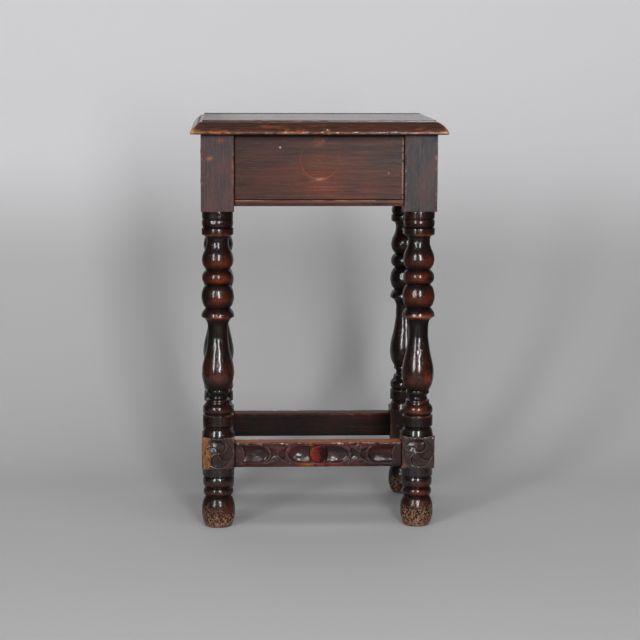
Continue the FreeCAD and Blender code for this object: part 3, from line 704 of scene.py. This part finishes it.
def make_seat(finish, seed):
    """The seat plank: its edge section carried round a rectangle with mitred corners. Its nose
    is rubbed pale, the field's arris is worn, the front edge has one small chip, and the wax has
    gone dull along the far edge."""
    inset, level = seat_profile().T
    half_x = SEAT_HALF_X - 0.1 - inset
    half_y = SEAT_HALF_Y - 0.1 - inset
    corner = np.clip(3.2 - inset * 0.5, 0.5, None)
    corner = np.minimum(corner, half_y * 0.5)
    shares = [side_shares(count) for count in (300, 96, 130, 96)]
    flat, normal, gap = ring(half_x, half_y, corner, shares, 5)
    points = np.concatenate([flat, np.broadcast_to(level[:, None], flat.shape[:2])[..., None]], -1)
    x, y, z = np.moveaxis(points, -1, 0)
    inset = np.broadcast_to(inset[:, None], z.shape)
    nose = (inset < 14) & (level[:, None] < 557)
    field = inset > 17
    dents = 0.10 * mottle(points, (9, 9, 6), seed) + 0.5 * mottle(points, (4, 4, 3), seed + 1) ** 6
    lower = hump(z, 541.6, 2.4) * (inset < 6)
    chips = mottle(points, (5, 5, 2.4), seed + 2) ** 4
    chip = hump(x - 0.35 * (z - 542), 9.0, 2.0 + 0.12 * (z - 540)) * eased(548, 545, z) * (y < 0)
    chip = chip * (inset < 8)
    push = (dents + 1.1 * lower * chips + 1.5 * chip) * nose
    ease = (inset > 15) & (inset < 18)
    push = push + 0.35 * ease * mottle(points, (11, 11, 3), seed + 3)
    sink = field * (0.02 + 0.16 * mottle(points, (60, 45, 9), seed + 4)
                    + 0.20 * mottle(points, (7, 7, 9), seed + 5) ** 6)
    points[..., :2] -= push[..., None] * normal
    points[..., 2] -= sink
    lines = mottle(points, (60, 2.2, 2.2), seed + 6)
    blotch = mottle(points, (34, 34, 8), seed + 7)
    fine = mottle(points, (5, 3, 1.8), seed + 8)
    rub = hump(z, 542.2, 3.2) * nose * 0.7
    crest = hump(inset, 17.0, 0.8) * (level[:, None] > 558.5)
    riser = (inset > 16.05) * (inset < 16.6) * 0.8
    shelf = hump(inset, 15.1, 0.5) * (level[:, None] < 557) * (level[:, None] > 556)
    patches = eased(0.50, 0.80, blotch)
    worn = (nose * (0.16 + 0.90 * patches * eased(0.25, 0.8, fine) + 0.2 * (lines - 0.5))
            + 0.50 * rub * (0.2 + 0.9 * fine)
            + (0.6 * crest + 0.8 * shelf + 0.8 * riser) * (0.4 + 0.9 * fine)
            + field * (0.10 + 0.20 * (lines - 0.4)))
    bare = 0.28 * hump(z, 541.8, 1.5) * nose * eased(0.35, 0.75, fine * 0.7 + blotch * 0.4)
    bare = bare * (1 - 0.35 * hump(x, 110, 50))
    bare = bare + 0.50 * hump(z, 543.0, 2.6) * nose * hump(np.abs(x), 172, 12)
    mitre = np.exp(-gap / 1.1) * nose * (0.3 + 0.9 * fine)
    worn = worn + 0.5 * mitre
    bare = bare + 0.40 * (crest + shelf) * eased(0.15, 0.6, fine) + 0.45 * chip
    bare = bare + 0.55 * mitre * (y < 0)
    # Painted shadow in the step below the field
    grime = hump(inset, 16.05, 0.22) * (level[:, None] > 556)
    grime = grime + 0.7 * eased(8.0, 10.0, inset) * eased(13.4, 12.0, inset) * nose
    grime = grime + field * 0.6 * eased(-95, -150, x) * eased(0.3, 0.7, lines)
    far_edge = field * eased(-58, -40, y - half_y.max() + (blotch - 0.5) * 14 + (fine - 0.5) * 5)
    grime = grime + 0.35 * far_edge
    # Painted shade on the underside and on the lower lip of the nose, and the chip darkened
    grime = grime + 0.4 * (level[:, None] < 540.2) + 0.8 * eased(0.6, 0.95, chip)
    grime = grime + 0.5 * eased(542.4, 541.0, z) * nose
    matt = np.maximum(0.7 * eased(544.5, 542.0, z), far_edge) + 0.8 * riser
    plank = skin(points, worn=clamped(worn), grime=clamped(grime), bare=clamped(bare), matt=matt)
    make_piece("seat", [plank], finish)


# The pegs

def peg_skin(head, direction, radius, length, proud, seed):
    """A riven peg: its outline from the slightly domed head to the blunt point, carried round
    its axis a little out of round."""
    along = np.array([0.0, 0.05, 0.25, 0.7, 2.0, length - 4.0, length]) - proud
    reach = radius * np.array([0.30, 0.72, 0.92, 0.99, 1.0, 1.0, 0.5])
    angle = np.arange(24) / 24 * 2 * math.pi
    oval = 1 - 0.035 * np.abs(np.sin(2 * angle + seed)) - 0.02 * (1 + np.sin(5 * angle + 2 * seed))
    axis = np.array(direction, float)
    side = np.array([axis[1], axis[2], axis[0]])
    other = np.cross(axis, side)
    around = np.cos(angle)[:, None] * side + np.sin(angle)[:, None] * other
    points = (np.array(head, float) + along[:, None, None] * axis
              + (reach[:, None] * oval)[..., None] * around)
    edge = np.array([0.3, 0.5, 0.5, 0.0, 0, 0, 0])[:, None]
    dark = np.array([0.15, 0.2, 0.5, 1.0, 1, 1, 1])[:, None]
    return skin(points, worn=edge, grime=dark, bare=0.0)


def mirrored(places, axis):
    """The places and their copies across the middle of the stool along an axis."""
    flip = np.ones(3)
    flip[axis] = -1
    return list(places) + [tuple(np.array(place) * flip) for place in places]


def make_pegs(finish):
    """The pegs of every joint and of the seat. The long rails' pegs are driven from inside the
    legs, the short rails' from outside, and the seat's go down through the plank."""
    long_x = SHOULDER_X + PEG_INSET
    short_y = SHOULDER_Y + PEG_INSET
    # The facing, the axis along which a joint's pegs are mirrored, the place and direction of a
    # head, the peg's length, how far it stands proud, the lowest rail peg and a seed
    for facing, axis, head, direction, length, proud, lowest, seed in (
            ("front", 0, (long_x, -SHOULDER_Y), (0, -1, 0), 40.5, 0.35, 468.0, 3.0),
            ("back", 0, (long_x, SHOULDER_Y), (0, 1, 0), 40.5, 0.35, 468.0, 3.0),
            ("left", 1, (-OUTER_X, short_y), (1, 0, 0), 20.5, 0.5, 475.0, 5.0),
            ("right", 1, (OUTER_X, short_y), (-1, 0, 0), 20.5, 0.5, 475.0, 5.0)):
        for kind, levels in (("rail", (lowest, lowest + 40)), ("stretcher", (STRETCHER_MIDDLE,))):
            heads = mirrored([(*head, z) for z in levels], axis)
            skins = [peg_skin(place, direction, 3.0, length, proud, number + seed)
                     for number, place in enumerate(heads)]
            make_piece("pegs_" + kind + "_" + facing, skins, finish)
    long_seat = mirrored(mirrored([(85.0, OUTER_Y - 12.5, SEAT_TOP)], 0), 1)
    short_seat = mirrored([(OUTER_X - 12.5, 0, SEAT_TOP)], 0)
    skins = [peg_skin(head, (0, 0, -1), 4.0, 50.0, 0.0, number + 7.0)
             for number, head in enumerate(long_seat + short_seat)]
    make_piece("pegs_seat", skins, finish)


# Finishes

def colour(code):
    """An sRGB hex colour as linear RGBA."""
    shades = [int(code[place:place + 2], 16) / 255 for place in (1, 3, 5)]
    return tuple(s / 12.92 if s <= 0.04045 else ((s + 0.055) / 1.055) ** 2.4 for s in shades) + (1,)


def add(tree, kind, inputs=None, **settings):
    """Adds a node. settings are its own values, and inputs are its sockets by name or number,
    each a plain value or the output of another node."""
    node = tree.nodes.new(kind)
    for key, value in settings.items():
        setattr(node, key, value)
    for key, value in (inputs or {}).items():
        if isinstance(value, bpy.types.NodeSocket):
            tree.links.new(value, node.inputs[key])
        else:
            node.inputs[key].default_value = value
    return node


def blended(tree, amount, first, second, way="MIX"):
    """The colour between two colours, or the product of them, by an amount."""
    node = add(tree, "ShaderNodeMix", {0: amount, 6: first, 7: second}, data_type="RGBA",
               blend_type=way)
    return node.outputs[2]


def worked(tree, way, first, second=0.0, third=0.0, clamp=False):
    """A sum done on numbers."""
    return add(tree, "ShaderNodeMath", {0: first, 1: second, 2: third}, operation=way,
               use_clamp=clamp).outputs[0]


def stained_oak(name, grain, stain, streak, rubbed, golden, rough, sheen, wax, polish, scratched,
                pitted, seed):
    """Oak with a dark stain under wax. grain is the axis that the fibres run along. The stain
    lies unevenly along the fibres, goes red-brown where hands and cloths have worn it, shows
    bare golden wood where it is rubbed through, and is black where dirt and old wax have
    gathered. The same shades also carry painted light: redder stain on the lamp side of the
    front legs' turning, painted highlights in worn and bare colours along the rail's bead and
    the boss's left edge, and painted shade under the seat, in its step, in the rail's quirk,
    joints and lower edge, and on the boss. Short dark pores run with the grain, scratches
    stand pale, and painted highlights stand pale on carved ridges and arrises. rough and sheen
    are the wood's roughness and specular level, wax and polish the clear coat's weight and
    roughness, and pitted is the strength of the relief."""
    finish = bpy.data.materials.new(name)
    finish.use_nodes = True
    tree = finish.node_tree
    tree.nodes.clear()
    where = add(tree, "ShaderNodeTexCoord").outputs["Object"]

    def noise(across, along, offset, detail, roughness=0.5):
        """Noise whose cells are as wide and as long as a fibre, in millimetres."""
        sizes = [across, across, across]
        sizes["XYZ".index(grain)] = along
        fibres = add(tree, "ShaderNodeMapping", {
            "Vector": where, "Scale": [1 / (size * MM) for size in sizes],
            "Location": (offset, offset * 0.7, offset * 1.3)}).outputs[0]
        return add(tree, "ShaderNodeTexNoise", {"Vector": fibres, "Scale": 1.0, "Detail": detail,
                                                "Roughness": roughness}).outputs["Fac"]

    def between(value, low, high):
        """0 at low, rising evenly to 1 at high."""
        return add(tree, "ShaderNodeMapRange",
                   {"Value": value, "From Min": low, "From Max": high}).outputs[0]

    def product(first, second, plus=0.0, clamp=False):
        """The product of two values, and a third added to it."""
        return worked(tree, "MULTIPLY_ADD", first, second, plus, clamp)

    worn, grime, bare, matt, dry = [
        add(tree, "ShaderNodeAttribute", attribute_name=kind).outputs["Fac"]
        for kind in ("worn", "grime", "bare", "matt", "dry")]

    # Growth rings show as bands about 3 mm wide and 90 mm long, finer fibres as 0.8 by 25 mm
    bands = noise(3.0, 90.0, seed, 3.0)
    fine = noise(0.8, 25.0, seed + 3, 2.0)
    cloud = noise(22.0, 40.0, seed + 6, 3.0)
    # Pores are 0.4 mm wide and 5 mm long in the wood, and are drawn 0.6 by 7 mm so that they show
    pore = between(noise(0.6, 7.0, seed + 9, 1.0), 0.63, 0.74)
    # Scuffs and pits in the wax are 1 to 2 mm across
    pits = noise(1.6, 2.2, seed + 12, 4.0, 0.65)
    # Fine scratches are 0.2 mm wide in the wax, and are drawn 0.9 mm wide so that they show
    scratch = between(noise(0.9, 13.0, seed + 15, 2.0), 0.60, 0.72)

    lie = between(product(bands, 0.65, product(fine, 0.35)), 0.38, 0.62)
    shade = blended(tree, lie, colour(stain), colour(streak))
    rub = product(worn, product(lie, 0.5, 0.75))
    rub = product(worked(tree, "SUBTRACT", cloud, 0.5), 0.35, rub, clamp=True)
    through = product(bare, product(pits, 1.2, 0.4), clamp=True)
    # Pale: real scratches, and the painted highlight on carved ridges and arrises; the grime colour
    # also lays the painted shade
    pale = worked(tree, "MAXIMUM", dry, product(scratch, scratched))
    for amount, code in ((rub, rubbed), (through, golden), (pale, "#8b7873"),
                         (product(pore, 0.55), "#0c0807"), (product(grime, 0.85), "#0b0808")):
        shade = blended(tree, amount, shade, colour(code))

    dull = product(grime, 0.40, product(pits, 0.22, rough - 0.11))
    dull = product(bare, 0.12, dull, clamp=True)
    relief = product(fine, 0.25, product(pits, 0.35, product(pore, -0.5)))
    # The wax fills the pits, so its own surface is smoother than the wood's
    wood, coat = [add(tree, "ShaderNodeBump", {"Height": relief, "Strength": strength,
                                               "Distance": 0.35 * MM}).outputs[0]
                  for strength in (pitted, pitted * 0.45)]
    lost = worked(tree, "MAXIMUM", bare, product(grime, 0.9))
    lost = worked(tree, "MAXIMUM", lost, matt)
    shader = add(tree, "ShaderNodeBsdfPrincipled", {
        "Base Color": shade, "Roughness": dull, "IOR": 1.5, "Specular IOR Level": sheen,
        "Normal": wood, "Coat Weight": product(lost, -wax, wax, clamp=True),
        "Coat Roughness": polish, "Coat IOR": 1.65, "Coat Normal": coat})
    add(tree, "ShaderNodeOutputMaterial", {"Surface": shader.outputs[0]})
    return finish


# The finishes, all of them stained oak under wax: the name, the fibres' axis, the colours of
# stain, streak, worn stain and bare wood, then rough, sheen, wax, polish, scratched, pitted, seed
FINISHES = {
    # Turned oak, polished by dusting: near black, with crisp highlights
    "turned": ("waxed_turned_oak", "Z", "#110c0b", "#1d110e", "#853515", "#9a7a62",
               0.34, 0.08, 0.62, 0.14, 0.06, 0.90, 1.0),
    # Square blocks of the legs: planed, handled and duller than the turning
    "blocks": ("planed_block_oak", "Z", "#322d30", "#3a3538", "#a8481c", "#b49c86",
               0.46, 0.17, 0.03, 0.26, 0.14, 0.35, 11.0),
    # Lower blocks: dark in the cuts of the carving, with gloss, and a painted highlight in a pale
    # colour on its ridges
    "carved": ("carved_block_oak", "Z", "#1d1514", "#2d2220", "#6c3022", "#96602e",
               0.38, 0.14, 0.30, 0.18, 0.10, 0.85, 15.0),
    # Seat plank: brown-black and satin, with a redder moulding
    "seat": ("waxed_seat_oak", "X", "#221a17", "#382822", "#7c4228", "#c08c58",
             0.34, 0.15, 0.62, 0.18, 0.20, 0.35, 21.0),
    # Rails: smooth planed faces, red-brown in the middle, with a soft grey sheen
    "rails": ("waxed_rail_oak", "X", "#251814", "#37221b", "#88391a", "#c8ab8c",
              0.44, 0.13, 0.05, 0.25, 0.12, 0.35, 41.0),
    # Short rails: their fibres run front to back
    "side_rails": ("waxed_side_rail_oak", "Y", "#20130f", "#3a2119", "#92401c", "#b08a66",
                   0.44, 0.14, 0.05, 0.25, 0.12, 0.35, 61.0),
    # Front stretcher: dark in the carving, golden where feet have rubbed the top
    "stretchers": ("foot_worn_stretcher_oak", "X", "#1a1110", "#2d1916", "#76190e", "#9c5c22",
                   0.38, 0.10, 0.42, 0.17, 0.04, 0.85, 81.0),
    # Back stretcher: out of the way of feet, so the stain is whole
    "back_stretcher": ("stained_stretcher_oak", "X", "#120c0b", "#1c1310", "#4a1c12", "#8f5a2a",
                       0.36, 0.07, 0.08, 0.14, 0.08, 0.35, 91.0),
    # Side stretchers: worn by feet, with some gloss left
    "side_stretchers": ("foot_worn_side_stretcher_oak", "Y", "#170f0e", "#2a1815", "#641c10",
                        "#8f5a2a", 0.36, 0.32, 0.50, 0.16, 0.08, 0.35, 101.0),
    # Peg heads show end grain, darker than the faces round them
    "pegs": ("riven_peg_oak", "Z", "#141010", "#261a15", "#5a3020", "#8a6038",
             0.50, 0.40, 0.15, 0.30, 0.10, 0.35, 121.0),
}


# Studio

def make_paper():
    """Pale matt backdrop paper, graduated with painted light: it grows paler between 270 and 500 mm
    up, where the backdrop is lit more.
    Its back is clear, so that the stool can be looked at from behind and from below."""
    paper = bpy.data.materials.new("backdrop_paper_painted_light")
    paper.use_nodes = True
    tree = paper.node_tree
    shader = tree.nodes["Principled BSDF"]
    where = add(tree, "ShaderNodeTexCoord").outputs["Object"]
    height = add(tree, "ShaderNodeSeparateXYZ", {0: where}).outputs["Z"]
    # Painted light: the paper is paler higher up, where the backdrop is lit more
    painted_light_upwards = add(tree, "ShaderNodeMapRange", {"Value": height, "From Min": 0.27, "From Max": 0.50},
                interpolation_type="SMOOTHSTEP")
    tree.links.new(blended(tree, painted_light_upwards.outputs[0], colour("#bababa"), colour("#dcdcdf")),
                   shader.inputs["Base Color"])
    shader.inputs["Roughness"].default_value = 0.7
    mixed = add(tree, "ShaderNodeMixShader", {
        0: add(tree, "ShaderNodeNewGeometry").outputs["Backfacing"], 1: shader.outputs[0],
        2: add(tree, "ShaderNodeBsdfTransparent").outputs[0]})
    tree.links.new(mixed.outputs[0], tree.nodes["Material Output"].inputs["Surface"])
    return paper


def make_sweep(name, paper, left, right, near, far=None):
    """A sheet of backdrop paper between two X and from a near Y. With no far Y it curves up
    behind the stool into a backdrop."""
    turn = np.linspace(0, math.pi / 2, 25)
    bend, start, top = 0.5, 0.17, 3.4
    if far is None:
        curve = np.column_stack([start + bend * np.sin(turn), bend - bend * np.cos(turn)])
        profile = np.vstack([[(near, 0.0)], curve, [(start + bend, top)]])
    else:
        profile = np.array([(near, 0.0), (far, 0.0)])
    wide = np.array([left, right])
    grid = np.stack(np.broadcast_arrays(wide, profile[:, :1], profile[:, 1:]), axis=-1)
    first = np.arange(len(profile) - 1)[:, None] * 2
    faces = first + np.array([0, 1, 3, 2])
    mesh = bpy.data.meshes.new(name)
    mesh.from_pydata(grid.reshape(-1, 3).tolist(), [], faces.tolist())
    mesh.shade_smooth()
    mesh.materials.append(paper)
    sweep = bpy.data.objects.new(name, mesh)
    bpy.context.scene.collection.objects.link(sweep)
    return sweep


def make_lamp(name, place, target, width, height, power, diffuse=True, glossy=True):
    """A soft box that faces the target. Places and sizes are metres. diffuse and glossy say
    whether it lights the wood itself and whether the polish mirrors it."""
    lamp = bpy.data.lights.new(name, "AREA")
    lamp.shape = "RECTANGLE"
    lamp.size = width
    lamp.size_y = height
    lamp.energy = power
    box = bpy.data.objects.new(name, lamp)
    bpy.context.scene.collection.objects.link(box)
    aim = Vector(place) - Vector(target)
    box.rotation_euler = aim.to_track_quat("Z", "Y").to_euler()
    box.location = place
    box.visible_diffuse = diffuse
    box.visible_glossy = glossy


def make_studio():
    """Two tall soft boxes beside the camera, which give every turned form its pair of upright
    highlights, a glint lamp close behind each of them that only the polish mirrors, a broad
    fill behind the camera, one broad soft box overhead and a plain grey surround."""
    paper = make_paper()
    make_sweep("paper_middle", paper, -0.68, 0.68, -1.5)
    # The outer paper keeps out of the polish, so that the rims of the turned parts stay dark
    for name, sizes in (("paper_left", (-3.0, -0.68, -3.6)), ("paper_right", (0.68, 3.0, -3.6)),
                        ("paper_near", (-0.68, 0.68, -3.6, -1.5))):
        make_sweep(name, paper, *sizes).visible_glossy = False
    for side, place, light, glint in (("left", (-1.38, -2.25, 1.08), 20.0, 21.0),
                                      ("right", (0.44, -2.80, 1.10), 32.0, 33.0)):
        behind = tuple(1.03 * value for value in place)
        make_lamp("soft_box_" + side, place, (0, 0, 0.33), 0.34, 1.60, light)
        make_lamp("glint_" + side, behind, (0, 0, 0.33), 0.34, 1.60, glint, diffuse=False)
    make_lamp("soft_fill", (-0.2, -3.3, 1.7), (0, 0, 0.3), 3.2, 2.0, 14.0, glossy=False)
    make_lamp("soft_box_overhead", (0.1, -1.0, 2.4), (0, 0.1, 0), 2.4, 1.6, 21.0, glossy=False)
    world = bpy.data.worlds.new("studio")
    world.use_nodes = True
    surround = world.node_tree.nodes["Background"]
    surround.inputs["Color"].default_value = colour("#d8d8da")
    surround.inputs["Strength"].default_value = 0.06
    bpy.context.scene.world = world


def make_camera():
    """The camera at the photograph's place. Its angles turn it towards +X, down and a little
    round its own axis."""
    turned, tipped, rolled = 0.045924, 0.139637, 0.003502
    lens = bpy.data.cameras.new("camera")
    lens.sensor_width = 36.0
    lens.lens = 115.50
    camera = bpy.data.objects.new("camera", lens)
    bpy.context.scene.collection.objects.link(camera)
    aim = (Matrix.Rotation(-turned, 3, "Z") @ Matrix.Rotation(math.pi / 2 - tipped, 3, "X")
           @ Matrix.Rotation(rolled, 3, "Z"))
    camera.matrix_world = Matrix.Translation((-0.12517, -2.87643, 0.67641)) @ aim.to_4x4()
    bpy.context.scene.camera = camera


make_camera()
make_studio()
finishes = {kind: stained_oak(*settings) for kind, settings in FINISHES.items()}
for number, leg in enumerate(LEGS):
    make_leg(leg, finishes, 11 + 300 * number)
make_rail("front", SHOULDER_X, -OUTER_Y, finishes["rails"], 21, 150, 0.72)
make_rail("back", SHOULDER_X, -OUTER_Y, finishes["rails"], 121, 60, 2.0)
make_rail("left", SHOULDER_Y, -OUTER_X, finishes["side_rails"], 221, 60, 2.0)
make_rail("right", SHOULDER_Y, -OUTER_X, finishes["side_rails"], 321, 60, 2.0)
make_stretcher("front", SHOULDER_X, -OUTER_Y, finishes["stretchers"], 31, 96, 0.42, 0.95)
make_stretcher("back", SHOULDER_X, -OUTER_Y, finishes["back_stretcher"], 131, 24, 1.5, 0.30)
make_stretcher("left", SHOULDER_Y, -OUTER_X, finishes["side_stretchers"], 231, 24, 1.5, 0.45)
make_stretcher("right", SHOULDER_Y, -OUTER_X, finishes["side_stretchers"], 331, 24, 1.5, 0.45)
make_seat(finishes["seat"], 41)
make_pegs(finishes["pegs"])

scene = bpy.context.scene
scene.view_settings.view_transform = "Standard"
